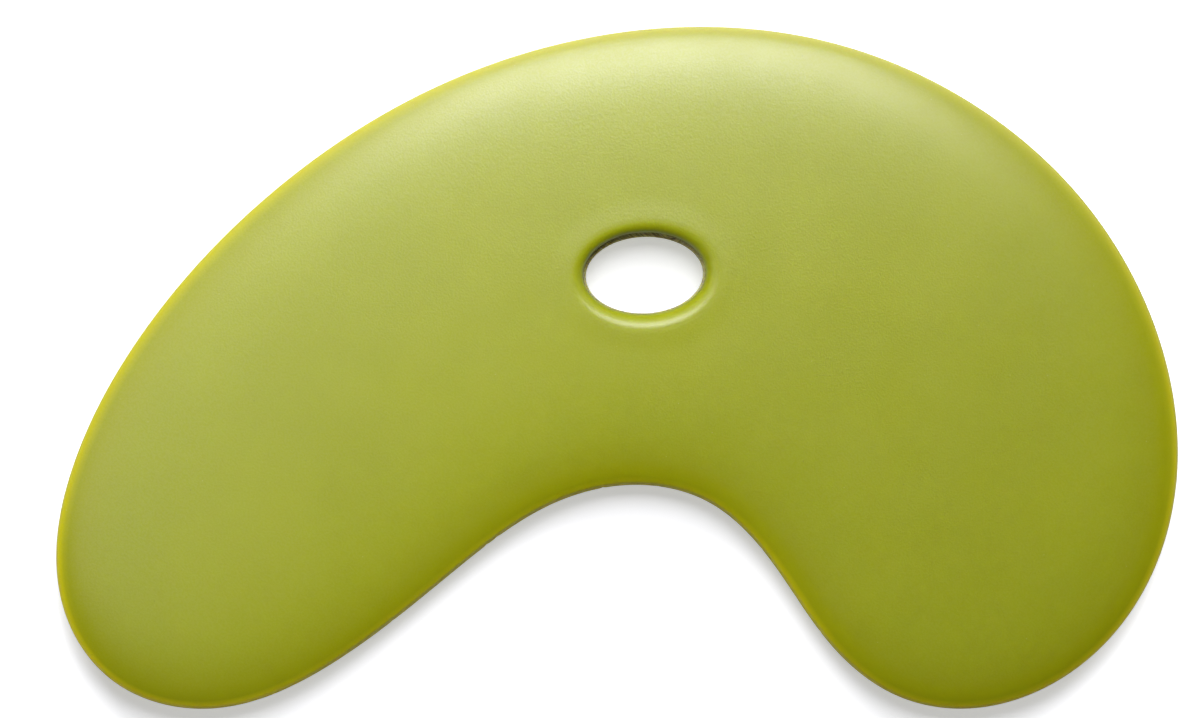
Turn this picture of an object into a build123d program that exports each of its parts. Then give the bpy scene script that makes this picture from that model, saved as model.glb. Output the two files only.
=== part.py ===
from build123d import *
import os
from math import cos, radians, sin

# A pottery rib: one flexible pad, moulded in one piece, for smoothing and shaping wet clay.
# It lies flat on the table, X along its length, Y from the feet to the back, Z through it.
# Both faces are alike: flat in the middle and tapered all round to a thin, springy rim.

# Driving dimensions of the pad, in millimetres
rib_length = 162.1
rib_width = 98.55
rib_thickness = 6.4
rim_thickness = 1.2  # just inside the broken corners of the rim
taper_width = 14.1  # how far in from the outline the flat face starts
knee_width = 7.4  # how far in the gentle crown turns into the quick fall to the rim
knee_drop = 0.45  # how far the crown has fallen there
cut_overrun = 1.0

# Driving dimensions of the finger hole, in millimetres and degrees
hole_length = 16.9
hole_width = 11.0
hole_from_left = 85.0
hole_from_back = 35.9
hole_tilt = 2.6
hole_round = 2.2  # the rolled mouth, on both faces

# Shares chosen by hand
rim_break_share = 0.35  # how far the rim's two corners are broken, of the rim's thickness

# The outline, clockwise from the top of the back, as shares of the length and the width
outline_shares = [
    # over the back and down the broad end
    (0.072, 0.500), (0.188, 0.478), (0.316, 0.388), (0.420, 0.236), (0.485, 0.034), (0.500, -0.129),
    # the broad foot
    (0.477, -0.303), (0.413, -0.437), (0.312, -0.500), (0.248, -0.480),
    # the hollow between the feet
    (0.193, -0.411), (0.132, -0.272), (0.080, -0.196), (0.016, -0.172), (-0.055, -0.198),
    (-0.142, -0.294), (-0.253, -0.433),
    # the narrow foot
    (-0.363, -0.500), (-0.449, -0.460), (-0.490, -0.370), (-0.500, -0.280),
    # up the long, gentle side to the back
    (-0.485, -0.144), (-0.420, 0.058), (-0.301, 0.266), (-0.153, 0.418),
]

# Worked out from the sizes above
half_thickness = rib_thickness / 2
half_rim = rim_thickness / 2
middle = Plane.XY.offset(half_thickness)  # where the mould's two halves part
rim_setback = rim_break_share * rim_thickness
outline_points = [(along * rib_length, across * rib_width) for along, across in outline_shares]

# The section's own planes: x away from the edge into the pad, y up, the edge's path along z
rim_plane = Plane(origin=middle.from_local_coords(outline_points[0]), x_dir=(0, -1, 0), z_dir=(-1, 0, 0))
hole_plane = Plane(
    origin=middle.from_local_coords((hole_from_left - rib_length / 2, rib_width / 2 - hole_from_back)),
    x_dir=(cos(radians(hole_tilt)), sin(radians(hole_tilt)), 0),
    z_dir=(0, 0, 1),
)
mouth_plane = Plane(
    origin=hole_plane.from_local_coords((hole_length / 2, 0)),
    x_dir=hole_plane.x_dir,
    z_dir=-hole_plane.y_dir,
)

with BuildPart() as rib:
    # The upper half of the blank, from the parting plane to the flat face
    with BuildSketch(middle):
        with BuildLine():
            Spline(*outline_points, periodic=True)
        make_face()
    extrude(amount=half_thickness)

    # The taper: gentle crown, quick fall and broken rim, swept as one cut round the outline
    rim_path = rib.faces().sort_by(Axis.Z)[0].outer_wire()
    with BuildSketch(rim_plane):
        with BuildLine():
            crown = TangentArc(
                (taper_width, half_thickness),
                (knee_width, half_thickness - knee_drop),
                tangent=(-1, 0),
            )
            quick_fall = TangentArc(crown @ 1, (rim_setback, half_rim), tangent=crown % 1)
            Polyline(
                quick_fall @ 1,
                (0, half_rim - rim_setback),
                (-cut_overrun, half_rim - rim_setback),
                (-cut_overrun, half_thickness + cut_overrun),
                (taper_width, half_thickness + cut_overrun),
                crown @ 0,
            )
        make_face()
    sweep(path=rim_path, mode=Mode.SUBTRACT)

    # The finger hole, an oval that leans a little
    with BuildSketch(hole_plane):
        Ellipse(hole_length / 2, hole_width / 2)
    extrude(amount=half_thickness, mode=Mode.SUBTRACT)

    # Its mouth, rolled over from the flat face to the wall
    hole_path = rib.edges().filter_by(GeomType.ELLIPSE).sort_by(Axis.Z)[0]
    with BuildSketch(mouth_plane):
        with BuildLine():
            roll = TangentArc((0, half_thickness - hole_round), (hole_round, half_thickness), tangent=(0, 1))
            Polyline(
                roll @ 1,
                (hole_round, half_thickness + cut_overrun),
                (-cut_overrun, half_thickness + cut_overrun),
                (-cut_overrun, half_thickness - hole_round),
                roll @ 0,
            )
        make_face()
    sweep(path=hole_path, mode=Mode.SUBTRACT)

    # The lower half is the same again, below the parting plane
    mirror(about=middle)

rib.part.label = "rib"
os.makedirs("parts", exist_ok=True)
export_step(rib.part, "parts/rib.step")
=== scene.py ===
from math import cos, gamma, pi, radians, sin

import bpy
import numpy as np
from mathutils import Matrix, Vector


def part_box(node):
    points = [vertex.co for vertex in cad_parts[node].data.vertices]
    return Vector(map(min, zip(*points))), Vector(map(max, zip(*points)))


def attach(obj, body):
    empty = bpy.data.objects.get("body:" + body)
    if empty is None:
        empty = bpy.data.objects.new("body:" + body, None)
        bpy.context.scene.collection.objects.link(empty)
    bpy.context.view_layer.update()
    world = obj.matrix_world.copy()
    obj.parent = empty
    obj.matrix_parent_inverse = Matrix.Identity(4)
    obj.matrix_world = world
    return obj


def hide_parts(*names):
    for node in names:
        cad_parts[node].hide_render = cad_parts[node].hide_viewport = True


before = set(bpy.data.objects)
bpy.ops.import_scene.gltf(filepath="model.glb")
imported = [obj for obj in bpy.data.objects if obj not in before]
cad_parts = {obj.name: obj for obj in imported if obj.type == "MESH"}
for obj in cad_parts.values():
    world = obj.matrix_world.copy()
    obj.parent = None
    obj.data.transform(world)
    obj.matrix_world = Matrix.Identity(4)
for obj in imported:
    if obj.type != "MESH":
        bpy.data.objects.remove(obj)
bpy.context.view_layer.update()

# The pad, which is the whole rib: one moulding of soft, translucent yellow-green polyurethane.
# It is cast between two like halves of a mould, flat in the middle and drawn out to a thin rim.
# Where the halves met, halfway up the rim and halfway down the hole, a rough line of flash stays.
mm = 0.001
pad_low, pad_high = (np.array(corner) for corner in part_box("rib"))
pad_size = pad_high - pad_low
half_thickness = pad_size[2] / 2
parting_height = pad_low[2] + half_thickness

# The taper: a quick fall over a gentle one that crowns the whole face, and a last turn down at the rim
half_rim = 0.55 * mm
swell_height = 0.08 * mm
crown_height = half_thickness - swell_height
gentle_drop, gentle_reach = 0.30 * mm, 14.0 * mm
rim_drop, rim_reach = 0.40 * mm, 0.5 * mm
quick_drop, quick_reach = crown_height - gentle_drop - rim_drop - half_rim, 4.2 * mm
nose_reach = 0.08 * mm
nose_end, taper_end = 0.45 * mm, 14.0 * mm

# From here inwards the depth turns into a softened one, which weighs every side by the nearness power
softening_start = 3 * mm
nearness_power = 9

# The finger hole: an oval that leans a little, with a rolled mouth on both faces and a swell round it
hole_length = 16.9 * mm
hole_width = 11.0 * mm
hole_centre = np.array([3.95, 13.375]) * mm
hole_tilt = radians(2.6)
mouth_round = 2.22 * mm
lip_right, lip_front = 0.14 * mm, 0.20 * mm
swell_reach = 3.6 * mm

# How finely the skin is divided, round the outline and from the rim to the hole
# The crowding is the power that draws the rows together towards the rim
steps_round = 960
nose_steps, taper_steps = 6, 13
nose_crowding, taper_crowding = 2, 1.5
face_steps, swell_steps, mouth_steps = 11, 5, 8

# The outline, clockwise from the top of the back, as shares of the length and the width
outline_shares = [
    # over the back and down the broad end
    (0.072, 0.500), (0.188, 0.478), (0.316, 0.388), (0.420, 0.236), (0.485, 0.034), (0.500, -0.129),
    # the broad foot
    (0.477, -0.303), (0.413, -0.437), (0.312, -0.500), (0.248, -0.480),
    # the hollow between the feet
    (0.193, -0.411), (0.132, -0.272), (0.080, -0.196), (0.016, -0.172), (-0.055, -0.198),
    (-0.142, -0.294), (-0.253, -0.433),
    # the narrow foot
    (-0.363, -0.500), (-0.449, -0.460), (-0.490, -0.370), (-0.500, -0.280),
    # up the long, gentle side to the back
    (-0.485, -0.144), (-0.420, 0.058), (-0.301, 0.266), (-0.153, 0.418),
]


def closed_curve(knots, count):
    """The closed cubic curve through the knots, as count points an equal length apart, and its length.

    Each piece runs for the length of its chord. The bends at all the knots are solved together, so
    that neighbouring pieces share slope and bend, and within a piece the bend changes evenly.
    """
    samples_per_point = 40
    ahead = np.roll(knots, -1, axis=0)
    chord = np.linalg.norm(ahead - knots, axis=1)
    before = np.roll(chord, 1)
    slope = (ahead - knots) / chord[:, None]
    unit = np.eye(len(knots))
    sums = 2 * (before + chord)[:, None] * unit
    sums += chord[:, None] * np.roll(unit, 1, axis=1) + before[:, None] * np.roll(unit, -1, axis=1)
    bend = np.linalg.solve(sums, 6 * (slope - np.roll(slope, 1, axis=0)))
    start = np.concatenate([[0], np.cumsum(chord)])
    along = np.linspace(0, start[-1], samples_per_point * count, endpoint=False)
    piece = np.searchsorted(start, along, side="right") - 1
    run = (along - start[piece])[:, None]
    span = chord[piece][:, None]
    first, last = bend[piece], np.roll(bend, -1, axis=0)[piece]
    place = knots[piece] + slope[piece] * run - span * (2 * first + last) / 6 * run
    place += first * run**2 / 2 + (last - first) * run**3 / (6 * span)
    closed = np.vstack([place, place[:1]])
    length = np.concatenate([[0], np.cumsum(np.linalg.norm(np.diff(closed, axis=0), axis=1))])
    even = np.linspace(0, length[-1], count, endpoint=False)
    points = np.column_stack([np.interp(even, length, closed[:, axis]) for axis in (0, 1)])
    return points, length[-1]


def uneven(shortest, seed):
    """A closed run of random values from -1 to 1 round the outline.

    It is seeded noise without the waves that are shorter than the shortest, counted in steps, and scaled
    so that its farthest value is 1.
    """
    waves = np.fft.rfft(np.random.default_rng(seed).normal(size=steps_round))
    waves[0] = 0
    waves[steps_round // shortest:] = 0
    run = np.fft.irfft(waves, steps_round)
    return run / np.abs(run).max()


def smooth_step(value, low, high):
    """0 below low, 1 above high, and between them three squares of the share less two of its cubes."""
    share = np.clip((value - low) / (high - low), 0, 1)
    return share**2 * (3 - 2 * share)


outline, outline_length = closed_curve(np.array(outline_shares) * pad_size[:2], steps_round)
outline -= (outline.max(axis=0) + outline.min(axis=0)) / 2
outline *= pad_size[:2] / np.ptp(outline, axis=0)
outline += (pad_high + pad_low)[:2] / 2
travel = np.roll(outline, -1, axis=0) - np.roll(outline, 1, axis=0)
travel /= np.linalg.norm(travel, axis=1)[:, None]
inward = np.column_stack([travel[:, 1], -travel[:, 0]])

# The hollow between the feet: where the rim faces the feet, near the middle of the length
towards_feet = inward[:, 1]
hollow_facing_low, hollow_facing_high = 0.35, 0.8
hollow_middle = -4 * mm
hollow_half_inner, hollow_half_outer = 34 * mm, 52 * mm
off_middle = np.abs(outline[:, 0] - hollow_middle)
in_hollow = smooth_step(towards_feet, hollow_facing_low, hollow_facing_high)
in_hollow *= smooth_step(-off_middle, -hollow_half_outer, -hollow_half_inner)

# The fin of flash on the rim is trimmed close, and left roughest and nicked in the hollow
fin_reach, fin_waver = 0.03 * mm, 0.015 * mm
hollow_fin_reach, hollow_fin_waver = 0.09 * mm, 0.06 * mm
fin = fin_reach + fin_waver * uneven(shortest=9, seed=11)
fin += in_hollow * (hollow_fin_reach + hollow_fin_waver * uneven(shortest=3, seed=12))
fin_half = 0.05 * mm
nick_depth = 0.10 * mm
nick_low, nick_high = 0.35, 0.7
nicks = in_hollow * smooth_step(uneven(shortest=2, seed=13), nick_low, nick_high) * nick_depth


def fall(depth):
    """How far the skin has fallen below the crown of the face, at a depth in from the outline.

    It is the sum of three exponentials: the gentle crown, the quick taper and the last turn at the rim.
    """
    crown = gentle_drop * np.exp(-depth / gentle_reach)
    return crown + quick_drop * np.exp(-depth / quick_reach) + rim_drop * np.exp(-depth / rim_reach)


def softened_depth(places):
    """The depth in from the outline, softened where two sides are about equally near.

    The outline's length is summed over its distance to the nearness power, and the inverse root of one
    degree less is taken. A constant makes this the depth itself beside a straight edge.
    """
    straight_edge = np.sqrt(pi) * gamma((nearness_power - 1) / 2) / gamma(nearness_power / 2)
    step_length = outline_length / steps_round
    depth = []
    for line in places:
        away = np.linalg.norm(line[:, None] - outline, axis=2)
        nearness = (away**-nearness_power).sum(axis=1) * step_length / straight_edge
        depth.append(nearness ** (-1 / (nearness_power - 1)))
    return np.array(depth)


def taper_rows():
    """The rows of the taper's upper half, as their places and their heights over the parting.

    The height is that of the fallen skin times the square root of one less an exponential of the depth,
    which rounds the nose of the rim. The nose's foot stands back by the fin of flash, and the depth turns
    from the plain one into the softened one on the way in.
    """
    nose = nose_end * np.linspace(0, 1, nose_steps + 1) ** nose_crowding
    skin_share = np.linspace(0, 1, taper_steps + 1)[1:] ** taper_crowding
    skin = nose_end + (taper_end - nose_end) * skin_share
    plain = np.concatenate([nose, skin])[:, None]
    stand_back = np.clip(1 - plain / nose_end, 0, 1) * fin
    places = outline + (plain + stand_back)[..., None] * inward
    softening = smooth_step(plain, softening_start, taper_end)
    depth = plain + softening * (softened_depth(places) - plain)
    heights = (crown_height - fall(depth)) * np.sqrt(1 - np.exp(-plain / nose_reach))
    heights[0] = fin_half
    return places, heights


def oval(turn, out):
    """The hole's oval at angles in its own frame, moved outwards along its normals, and leaned."""
    long_half, short_half = hole_length / 2, hole_width / 2
    normal = np.stack([short_half * np.cos(turn), long_half * np.sin(turn)], axis=-1)
    normal /= np.linalg.norm(normal, axis=-1)[..., None]
    flat = np.stack([long_half * np.cos(turn), short_half * np.sin(turn)], axis=-1)
    flat += out[..., None] * normal
    lean = np.array([[cos(hole_tilt), sin(hole_tilt)], [-sin(hole_tilt), cos(hole_tilt)]])
    return hole_centre + flat @ lean


def lip_out(turn):
    """How far out from the neck the mouth's lip stands.

    It is the mouth's round, and the lip's oval is shifted a little to the right and the front.
    """
    return mouth_round + lip_right * np.cos(turn) - lip_front * np.sin(turn)


taper, taper_heights = taper_rows()

# Each step round the outline meets the swell's foot at the angle at which both are seen from one place
seen_from = np.array([10.0, 20.0]) * mm
bearing_samples = 4000
turns = np.linspace(0, 2 * pi, bearing_samples)
mouth_line = oval(turns, lip_out(turns) + swell_reach) - seen_from
mouth_bearing = np.unwrap(np.arctan2(mouth_line[:, 1], mouth_line[:, 0]))
shoulder = taper[-1] - seen_from
bearing = np.arctan2(shoulder[:, 1], shoulder[:, 0]) - mouth_bearing[0]
turn = np.interp(bearing % (2 * pi) + mouth_bearing[0], mouth_bearing, turns)

# The neck is trimmed a little to the front of the moulded wall, so its ledge of flash is widest at the back
ledge_middle, ledge_lean, ledge_waver = 0.40 * mm, 0.25 * mm, 0.05 * mm
ledge = ledge_middle + ledge_lean * np.sin(turn) + ledge_waver * uneven(shortest=24, seed=21)
ledge_shares = np.array([0.92, 0.70, 0.55, 0.30, 0.06])
ledge_heights = np.array([0.20, 0.26, 0.12, 0.20, 0.09]) * mm
ragged = np.array([uneven(shortest=7, seed=31 + row) for row in range(len(ledge_shares))])
ragged_out_share, ragged_height_share = 0.05, 0.35
edge_waver = 0.04 * mm


def mouth_rows(lip_height):
    """The rows from the lip down to the parting line, as distances out from the oval and heights.

    The mouth rolls over in a quarter round, drops straight, and the rough ledge of flash steps in from it.
    """
    roll = np.linspace(0, pi / 2, mouth_steps + 1)[:, None]
    roll_radius = lip_out(turn) - ledge
    roll_out = ledge + roll_radius * (1 - np.sin(roll))
    roll_height = lip_height - roll_radius * (1 - np.cos(roll))
    ledge_out = ledge * (ledge_shares[:, None] + ragged_out_share * ragged)
    ledge_height = ledge_heights[:, None] * (1 + ragged_height_share * ragged)
    edge = np.clip(edge_waver * uneven(shortest=5, seed=41), 0, None)
    return np.vstack([roll_out, ledge_out, edge]), np.vstack([roll_height, ledge_height, 0 * edge])


# Round the mouth the face swells a hair, so its lip is the highest line of all
swell_share = np.linspace(1, 0, swell_steps + 1)
swell_turn = np.repeat(turn[None], swell_steps + 1, axis=0)
swell = oval(swell_turn, lip_out(turn) + swell_reach * swell_share[:, None])
swell_rise = swell_height * (1 - smooth_step(swell_share, 0, 1))
swell_heights = crown_height - fall(softened_depth(swell)) + swell_rise[:, None]
mouth_out, mouth_heights = mouth_rows(swell_heights[-1])
mouth = oval(np.repeat(turn[None], len(mouth_out), axis=0), mouth_out)

# Between the taper and the swell the face runs straight in, with closer rows at both its ends
face_share = (1 - np.cos(pi * np.linspace(0, 1, face_steps + 1)[1:-1])) / 2
face = taper[-1] + face_share[:, None, None] * (swell[0] - taper[-1])
face_heights = crown_height - fall(softened_depth(face))

# The upper half from the tip of the fin to the edge of the neck, and the lower half below it, alike
tip = outline + nicks[:, None] * inward
upper = np.concatenate([tip[None], taper, face, swell[:-1], mouth])
upper_heights = np.vstack([0 * nicks, taper_heights, face_heights, swell_heights[:-1], mouth_heights])
places = np.concatenate([upper, upper[-2:0:-1]])
heights = parting_height + np.concatenate([upper_heights, -upper_heights[-2:0:-1]])
vertices = np.dstack([places, heights]).reshape(-1, 3)

# The skin is one closed grid of four-sided faces, round the rib and from the rim through the hole and back
rows_all = len(places)
row, step = np.meshgrid(np.arange(rows_all), np.arange(steps_round), indexing="ij")
next_row, next_step = (row + 1) % rows_all, (step + 1) % steps_round
corners = [(row, step), (next_row, step), (next_row, next_step), (row, next_step)]
faces = np.stack([r * steps_round + s for r, s in corners], axis=-1).reshape(-1, 4)
pad_mesh = bpy.data.meshes.new("rib_pad")
pad_mesh.from_pydata(vertices.tolist(), [], faces.tolist())

# The finish, with the painted glow and highlight, follows the way in from the rim, the side that the rim
# faces, and how far left it lies
way_in = np.vstack([0 * nicks, np.cumsum(np.linalg.norm(np.diff(upper, axis=0), axis=2), axis=0)])
left_full, left_none = -70 * mm, 40 * mm
on_left = 1 - smooth_step(outline[:, 0], left_full, left_none)

# Painted light: the gold glow of light shining through the thin rim is painted into the colour.
# It reaches furthest in at the back, and is strongest at the feet. Of three values, the second is weighed
# by how much the rim faces the feet, which is below 0 at the back, and the third by how far left it lies.
glow_start, edge_glow_end = 0.1 * mm, 0.45 * mm
glow_end, glow_end_feet, glow_end_left = 1.6 * mm, -0.45 * mm, 0.2 * mm
glow_share, glow_share_feet, glow_share_left = 0.58, 0.44, 0.14
hollow_glow_loss = 0.5
rim_glow_end = glow_end + glow_end_feet * towards_feet + glow_end_left * on_left
glow_here = np.clip(glow_share + glow_share_feet * towards_feet + glow_share_left * on_left, 0, 1)
painted_rim_glow = 1 - smooth_step(way_in, glow_start, rim_glow_end)
painted_rim_glow *= glow_here * (1 - hollow_glow_loss * in_hollow)
edge_glow = (1 - smooth_step(way_in, glow_start, edge_glow_end)) * np.clip(towards_feet, 0, 1)
painted_rim_glow = np.maximum(painted_rim_glow, edge_glow)

# Painted highlight: along the back, which faces the key box, the rim is painted paler, over about the same
# width
wash_start, wash_end = 0.2 * mm, 1.7 * mm
wash_narrowing = 4
painted_rim_highlight = 1 - smooth_step(way_in, wash_start, wash_end)
painted_rim_highlight *= np.clip(-towards_feet, 0, 1) ** wash_narrowing

# Just inside the rim the skin is less glossy, except along the back, and so is the mouth of the hole
dull_full, dull_fade_start, dull_fade_end = 0.7 * mm, 1.2 * mm, 5 * mm
dull_share, dull_share_feet, dull_loss_left = 1.1, 1.1, 0.4
mouth_dull = 0.35
rim_dull = smooth_step(way_in, 0, dull_full) - smooth_step(way_in, dull_fade_start, dull_fade_end)
rim_dull *= np.clip(dull_share + dull_share_feet * towards_feet, 0, 1) * (1 - dull_loss_left * on_left)
rim_dull[-len(mouth):] = mouth_dull

# The flash lies bare at the tip and the foot of the fin, and over the whole ledge at the neck
bare_rows = 2
bare_share, bare_share_hollow = 0.10, 0.40
rim_flash = np.zeros(upper.shape[:2])
rim_flash[:bare_rows] = bare_share + bare_share_hollow * in_hollow
neck_flash = np.zeros(upper.shape[:2])
neck_flash[-len(ledge_shares) - 1:] = 1


def both_halves(values):
    """The upper half's values, and the same again for the lower half, in the order of the vertices."""
    return np.concatenate([values, values[-2:0:-1]]).astype(np.float32).ravel()


measures = {
    "way_in": way_in, "painted_rim_highlight": painted_rim_highlight, "painted_rim_glow": painted_rim_glow, "rim_dull": rim_dull,
    "rim_flash": rim_flash, "neck_flash": neck_flash,
}
for name, values in measures.items():
    attribute = pad_mesh.attributes.new(name, "FLOAT", "POINT")
    attribute.data.foreach_set("value", both_halves(values))

# Patterns that run with the rim follow a place of its own: a unit circle round the pad, and the way in
round_angle = np.linspace(0, 2 * pi, steps_round, endpoint=False)
round_rim = np.stack([np.cos(round_angle) + 0 * way_in, np.sin(round_angle) + 0 * way_in, way_in], axis=-1)
attribute = pad_mesh.attributes.new("round_rim", "FLOAT_VECTOR", "POINT")
attribute.data.foreach_set("vector", both_halves(round_rim))
pad_mesh.polygons.foreach_set("use_smooth", np.ones(len(faces), bool))
pad_mesh.update()
pad_mesh.validate()
pad = bpy.data.objects.new("rib_pad", pad_mesh)
bpy.context.scene.collection.objects.link(pad)


def add(tree, kind, inputs=(), **settings):
    """A node with its settings, each named input set to a value or joined to another node's output."""
    made = tree.nodes.new(kind)
    for name, value in settings.items():
        setattr(made, name, value)
    for name, value in dict(inputs).items():
        if isinstance(value, bpy.types.NodeSocket):
            tree.links.new(value, made.inputs[name])
        else:
            made.inputs[name].default_value = value
    return made


def ramp(tree, value, low, high, result_low=0.0, result_high=1.0):
    """A number that goes smoothly from result_low to result_high as the value goes from low to high."""
    ends = {"From Min": low, "From Max": high, "To Min": result_low, "To Max": result_high}
    made = add(tree, "ShaderNodeMapRange", {"Value": value, **ends}, interpolation_type="SMOOTHSTEP")
    return made.outputs["Result"]


def joined(tree, operation, first, second):
    """The sum, the product or the larger of two numbers, as the operation says."""
    return add(tree, "ShaderNodeMath", {0: first, 1: second}, operation=operation).outputs[0]


def tint(tree, share, first, second):
    """The first colour turned into the second by the share."""
    sockets = {"Factor": share, "A": first, "B": second}
    mixed = tree.nodes.new("ShaderNodeMix")
    mixed.data_type = "RGBA"
    for socket in mixed.inputs:
        if socket.enabled and socket.name in sockets:
            value = sockets[socket.name]
            if isinstance(value, bpy.types.NodeSocket):
                tree.links.new(value, socket)
            else:
                socket.default_value = value
    return next(socket for socket in mixed.outputs if socket.enabled)


def noise(tree, place, per_metre, detail, stretch=None):
    """Cloudy noise, so many clouds to a metre of the place, which the stretch first multiplies by axis."""
    if stretch is not None:
        stretched = add(tree, "ShaderNodeVectorMath", {0: place, 1: stretch}, operation="MULTIPLY")
        place = stretched.outputs["Vector"]
    sockets = {"Vector": place, "Scale": per_metre, "Detail": detail}
    return add(tree, "ShaderNodeTexNoise", sockets).outputs["Fac"]


# Colours of the polyurethane: the body, the thin rim's painted highlight and painted glow of light through
# it, and the trimmed flash
body_green = (0.390, 0.424, 0.002, 1)
body_shade = (0.373, 0.408, 0.002, 1)
taper_green = (0.380, 0.400, 0.002, 1)
painted_highlight_pale = (0.47, 0.475, 0.13, 1)
painted_glow_gold = (0.90, 0.79, 0.01, 1)
flash_brown = (0.60, 0.55, 0.22, 1)
neck_pale = (0.60, 0.57, 0.28, 1)
neck_dark = (0.20, 0.175, 0.07, 1)
pale_speck = (0.55, 0.56, 0.20, 1)
dark_speck = (0.16, 0.17, 0.02, 1)

soft_green = bpy.data.materials.new("soft_green_polyurethane")
soft_green.use_nodes = True
tree = soft_green.node_tree
tree.nodes.clear()
pad_place = add(tree, "ShaderNodeTexCoord").outputs["Object"]
round_place = add(tree, "ShaderNodeAttribute", attribute_name="round_rim").outputs["Vector"]
way, wash, glow, dull, rim_line, neck_line = (
    add(tree, "ShaderNodeAttribute", attribute_name=name).outputs["Fac"] for name in measures
)

# The body is faintly clouded, and a shade yellower over the taper
cloud_low, cloud_high = 0.35, 0.65
taper_green_start, taper_green_end = 1.5 * mm, 9 * mm
cloud = noise(tree, pad_place, per_metre=55.0, detail=3.0)
colour = tint(tree, ramp(tree, cloud, cloud_low, cloud_high), body_green, body_shade)
over_taper = ramp(tree, way, taper_green_start, taper_green_end, 1.0, 0.0)
colour = tint(tree, over_taper, colour, taper_green)
# Over the rim go a painted highlight along the back and the painted gold glow of light through the thin rim
colour = tint(tree, wash, colour, painted_highlight_pale)
colour = tint(tree, glow, colour, painted_glow_gold)

# Small specks in the moulding, one to a cell: two fifths are pale, three tenths dark and the rest clear
specks_per_metre = 420.0
speck_core, speck_rim = 0.02, 0.05
pale_low, pale_high, pale_weight = 0.60, 0.62, 0.45
dark_low, dark_high, dark_weight = 0.30, 0.32, 0.4
cells = add(tree, "ShaderNodeTexVoronoi", {"Vector": pad_place, "Scale": specks_per_metre})
speck = ramp(tree, cells.outputs["Distance"], speck_core, speck_rim, 1.0, 0.0)
which = add(tree, "ShaderNodeSeparateColor", {"Color": cells.outputs["Color"]}).outputs["Red"]
pale_here = joined(tree, "MULTIPLY", speck, ramp(tree, which, pale_low, pale_high, 0.0, pale_weight))
dark_here = joined(tree, "MULTIPLY", speck, ramp(tree, which, dark_low, dark_high, dark_weight, 0.0))
colour = tint(tree, pale_here, colour, pale_speck)
colour = tint(tree, dark_here, colour, dark_speck)

# The flash: brown where it is bare at the rim, and torn into pale and dark threads at the neck
torn_stretch = (9.0, 9.0, 9000.0)
torn_low, torn_high = 0.40, 0.60
colour = tint(tree, rim_line, colour, flash_brown)
torn = noise(tree, round_place, per_metre=1.0, detail=3.0, stretch=torn_stretch)
neck_colour = tint(tree, ramp(tree, torn, torn_low, torn_high), neck_dark, neck_pale)
colour = tint(tree, neck_line, colour, neck_colour)

# The mould leaves a fine grain all over, and faint streaks that run with the rim and fade on the way in
grain_height, streak_height = 0.017 * mm, 0.006 * mm
streak_stretch = (14.0, 14.0, 2000.0)
streak_fade_start, streak_fade_end = 2 * mm, 12 * mm
grain = noise(tree, pad_place, per_metre=3200.0, detail=2.0)
streaks = noise(tree, round_place, per_metre=1.0, detail=2.0, stretch=streak_stretch)
near_rim = ramp(tree, way, streak_fade_start, streak_fade_end, 1.0, 0.0)
faded = joined(tree, "MULTIPLY", streaks, near_rim)
grain_bump = add(tree, "ShaderNodeBump", {"Strength": 1.0, "Distance": grain_height, "Height": grain})
streak_bump = add(
    tree, "ShaderNodeBump",
    {"Strength": 1.0, "Distance": streak_height, "Height": faded, "Normal": grain_bump.outputs["Normal"]},
)

# The skin has a satin gloss with soft scuffs, and is matt where the flash was cut
scuff_low, scuff_high = 0.3, 0.7
skin_smoothest, skin_roughest = 0.345, 0.375
cut_width, cut_roughness = 0.3 * mm, 0.6
scuffs = noise(tree, pad_place, per_metre=140.0, detail=4.0)
satin = ramp(tree, scuffs, scuff_low, scuff_high, skin_smoothest, skin_roughest)
cut = joined(tree, "MAXIMUM", ramp(tree, way, 0.0, cut_width, 1.0, 0.0), neck_line)
roughness = joined(tree, "ADD", satin, joined(tree, "MULTIPLY", cut, cut_roughness))

# The mirror part of the gloss is weaker where the skin is dull, and sparkles with the grain
full_shine, dull_shine = 0.5, 0.15
sparkle_low, sparkle_high = 0.3, 0.7
sparkle_least, sparkle_most = 0.87, 1.13
sparkle = ramp(tree, grain, sparkle_low, sparkle_high, sparkle_least, sparkle_most)
shine = joined(tree, "MULTIPLY", ramp(tree, dull, 0.0, 1.0, full_shine, dull_shine), sparkle)

skin = add(
    tree, "ShaderNodeBsdfPrincipled",
    {"Base Color": colour, "Roughness": roughness, "Normal": streak_bump.outputs["Normal"],
     "IOR": 1.75, "Specular IOR Level": shine,
     "Subsurface Weight": 1.0, "Subsurface Radius": (1.0, 0.8, 0.15), "Subsurface Scale": mm},
)
add(tree, "ShaderNodeOutputMaterial", {"Surface": skin.outputs["BSDF"]})
pad_mesh.materials.append(soft_green)
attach(pad, "root")
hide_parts("rib")

# The table under the rib: a plain white sheet, much larger than the view, a hair below the flat face.
# It is bright enough to look pure white, but what the pad catches of it is no more than a grey sheet's.
table_half = 1.5
table_gap = 0.05 * mm
table_height = pad_low[2] - table_gap
seen_white, seen_glow = 0.78, 0.48
caught_white, caught_glow = 0.30, 0.12
blue_lift = 1.05
table_corners = [
    (-table_half, -table_half, table_height), (table_half, -table_half, table_height),
    (table_half, table_half, table_height), (-table_half, table_half, table_height),
]
table_mesh = bpy.data.meshes.new("table")
table_mesh.from_pydata(table_corners, [], [(0, 1, 2, 3)])
table = bpy.data.objects.new("table", table_mesh)
bpy.context.scene.collection.objects.link(table)
white_sheet = bpy.data.materials.new("white_sheet")
white_sheet.use_nodes = True
tree = white_sheet.node_tree
tree.nodes.clear()


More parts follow.
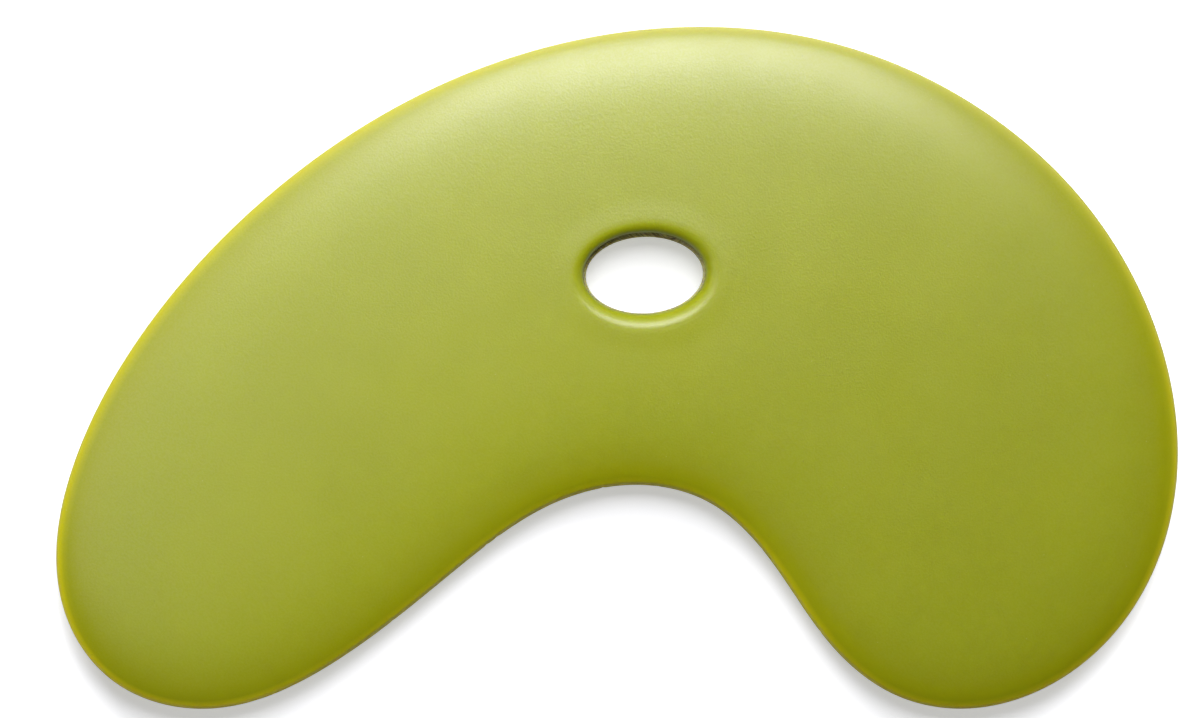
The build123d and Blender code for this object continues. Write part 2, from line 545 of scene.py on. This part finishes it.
def matt_sheet(tree, white, glow):
    """A matt sheet of this whiteness, a touch bluer than grey, that gives off a little light of its own."""
    look = {
        "Base Color": (white, white, blue_lift * white, 1), "Roughness": 0.9, "Specular IOR Level": 0.0,
        "Emission Color": (1, 1, 1, 1), "Emission Strength": glow,
    }
    return add(tree, "ShaderNodeBsdfPrincipled", look).outputs["BSDF"]


bright = matt_sheet(tree, seen_white, seen_glow)
grey = matt_sheet(tree, caught_white, caught_glow)
seen = add(tree, "ShaderNodeLightPath").outputs["Is Camera Ray"]
sheet = add(tree, "ShaderNodeMixShader", {0: seen, 1: grey, 2: bright})
add(tree, "ShaderNodeOutputMaterial", {"Surface": sheet.outputs["Shader"]})
table_mesh.materials.append(white_sheet)

# The light: a soft box above the back of the rib, which gives the pad its gloss and its shadow.
# A weaker one fills in the pad from the left, and a low one far behind whitens the table alone.
# Their places and sizes are in metres, and the room round them glows a little.


def soft_box(name, spot, wide, high, radiance, lit=None):
    """A white panel aimed at the middle of the pad: its power is its radiance times pi times its area.

    It lights one object alone where lit names it.
    """
    light = bpy.data.lights.new(name, "AREA")
    light.shape = "RECTANGLE"
    light.size, light.size_y = wide, high
    light.energy = radiance * pi * wide * high
    panel = bpy.data.objects.new(name, light)
    panel.location = spot
    panel.rotation_euler = (-Vector(spot)).to_track_quat("-Z", "Y").to_euler()
    panel.visible_camera = False
    bpy.context.scene.collection.objects.link(panel)
    if lit is not None:
        lit_alone = bpy.data.collections.new(name + "_lights")
        lit_alone.objects.link(lit)
        panel.light_linking.receiver_collection = lit_alone


soft_box("key_box", spot=(0.0089, 0.2077, 0.3074), wide=0.245, high=0.206, radiance=7.75)
soft_box("fill_box", spot=(-0.1085, 0.0711, 0.1522), wide=0.277, high=0.220, radiance=1.015, lit=pad)
soft_box("table_box", spot=(0.1, 0.995, 0.42), wide=1.60, high=0.56, radiance=12.5, lit=table)

# The room glows most from low down behind on the right, and faintly from the ceiling
glow_from = (0.462, 0.830, -0.449)
ceiling_glow = 0.06
room = bpy.data.worlds.new("room")
bpy.context.scene.world = room
room.use_nodes = True
tree = room.node_tree
tree.nodes.clear()
direction = add(tree, "ShaderNodeTexCoord").outputs["Generated"]
towards = add(tree, "ShaderNodeVectorMath", {0: direction, 1: glow_from}, operation="DOT_PRODUCT")
walls = joined(tree, "MAXIMUM", towards.outputs["Value"], 0.0)
up = add(tree, "ShaderNodeSeparateXYZ", {"Vector": direction}).outputs["Z"]
ceiling = joined(tree, "MULTIPLY", joined(tree, "MAXIMUM", up, 0.0), ceiling_glow)
room_glow = joined(tree, "ADD", walls, ceiling)
background = add(tree, "ShaderNodeBackground", {"Color": (1, 1, 1, 1), "Strength": room_glow})
add(tree, "ShaderNodeOutputWorld", {"Surface": background.outputs["Background"]})
bpy.context.scene.view_settings.view_transform = "Standard"

# The camera: straight above, as the photograph was taken, with the feet towards the bottom of the frame.
# A long lens half a metre up shows the pad almost without perspective.
camera_place = (-2.464 * mm, 1.25 * mm, 484.9 * mm)
camera = bpy.data.cameras.new("camera")
camera.lens = 100
camera.sensor_width = 36
camera_object = bpy.data.objects.new("camera", camera)
camera_object.location = camera_place
bpy.context.scene.collection.objects.link(camera_object)
bpy.context.scene.camera = camera_object
